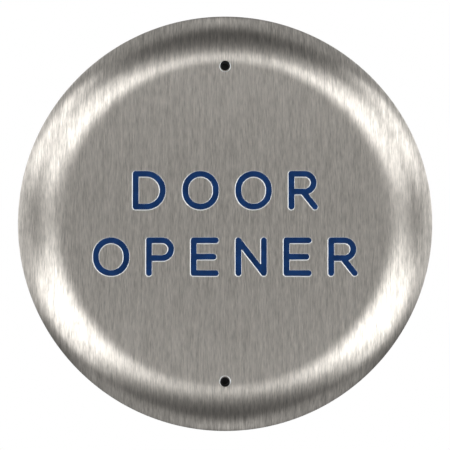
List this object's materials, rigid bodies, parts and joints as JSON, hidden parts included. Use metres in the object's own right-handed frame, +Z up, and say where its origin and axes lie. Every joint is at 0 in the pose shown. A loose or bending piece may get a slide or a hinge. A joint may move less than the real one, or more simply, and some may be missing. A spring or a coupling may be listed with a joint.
{
  "type": "automatic door push plate switch",
  "caption": "Round brushed steel push plate on springs over a wall-box back plate, with a central plunger that works a snap-action switch.",
  "frame": {"origin": "centre of the back plate's rear face, midway between the wall box screw holes", "axes": "+Z up, +Y into the wall, +X to the right as seen by the person who presses the plate; the face looks along -Y"},
  "size_m": [0.1524, 0.0523, 0.1524],
  "materials": {
    "brushed_face": "vertical brushed grain, satin",
    "legend_blue": "dark blue paint fill, semi-gloss",
    "pressed_steel": "mill finish",
    "zinc_steel": "zinc plated",
    "black_oxide": "black oxide on steel, oiled",
    "spring_steel": "drawn wire, bright",
    "foam": "closed-cell foam, matte",
    "white_acetal": "satin",
    "black_nylon": "satin",
    "switch_black": "moulded phenolic, semi-gloss",
    "switch_red": "moulded, semi-gloss",
    "terminal_brass": "bare",
    "copper_blade": "rolled, bright",
    "silver_contact": "polished"
  },
  "bodies": {
    "base": {"wall_gasket": "foam", "back_plate": "zinc_steel", "guide_bush": "white_acetal", "upper_standoff": "zinc_steel", "lower_standoff": "zinc_steel", "face_screws": "black_oxide", "spring_posts": "pressed_steel", "return_spring_1": "spring_steel", "return_spring_2": "spring_steel", "return_spring_3": "spring_steel", "return_spring_4": "spring_steel", "plunger_spring": "spring_steel", "switch_bracket": "zinc_steel", "bracket_rivets": "pressed_steel", "switch_case": "switch_black", "switch_cover": "switch_black", "switch_screws": "zinc_steel", "switch_nuts": "zinc_steel", "common_terminal": "terminal_brass", "closed_terminal": "terminal_brass", "open_terminal": "terminal_brass", "fixed_contacts": "silver_contact", "lever_pin": "pressed_steel"},
    "actuator": {"plunger": "black_nylon", "plunger_clip": "spring_steel"},
    "face": {"face_plate": "brushed_face", "legend_paint": "legend_blue", "upper_keeper": "pressed_steel", "lower_keeper": "pressed_steel", "spring_locators": "pressed_steel"},
    "lever": {"switch_lever": "pressed_steel"},
    "button": {"switch_button": "switch_red"},
    "blade": {"snap_blade": "copper_blade", "moving_contacts": "silver_contact"}
  },
  "joints": [
    {"name": "face_press", "type": "slide", "parent": "base", "child": "actuator", "axis": [0, 1, 0], "range_m": [0, 0.002], "stiffness_N_per_m": 3450, "springref_m": -0.002, "deforming": ["return_spring_1", "return_spring_2", "return_spring_3", "return_spring_4", "plunger_spring"]},
    {"name": "face_rock", "type": "hinge", "parent": "actuator", "child": "face", "pos_m": [0, -0.0144, 0], "axis": [0, 0, 1], "range_deg": [-1.2, 1.2], "stiffness_Nm_per_rad": 3.2, "deforming": ["return_spring_1", "return_spring_2", "return_spring_3", "return_spring_4"]},
    {"name": "lever_swing", "type": "hinge", "parent": "base", "child": "lever", "pos_m": [0, 0.0102, 0.02], "axis": [1, 0, 0], "range_deg": [0, 5.8]},
    {"name": "button_slide", "type": "slide", "parent": "base", "child": "button", "axis": [0, 1, 0], "range_m": [0, 0.00081]},
    {"name": "blade_swing", "type": "hinge", "parent": "base", "child": "blade", "pos_m": [0, 0.01675, 0.002], "axis": [-1, 0, 0], "range_deg": [0, 4.6]}
  ],
  "couplings": [
    {"joint": "lever_swing", "follows": "face_press", "rad_per_m": 50},
    {"joint": "button_slide", "follows": "face_press", "ratio": 0.4},
    {"joint": "blade_swing", "follows": "face_press", "rad_per_m": 40}
  ]
}
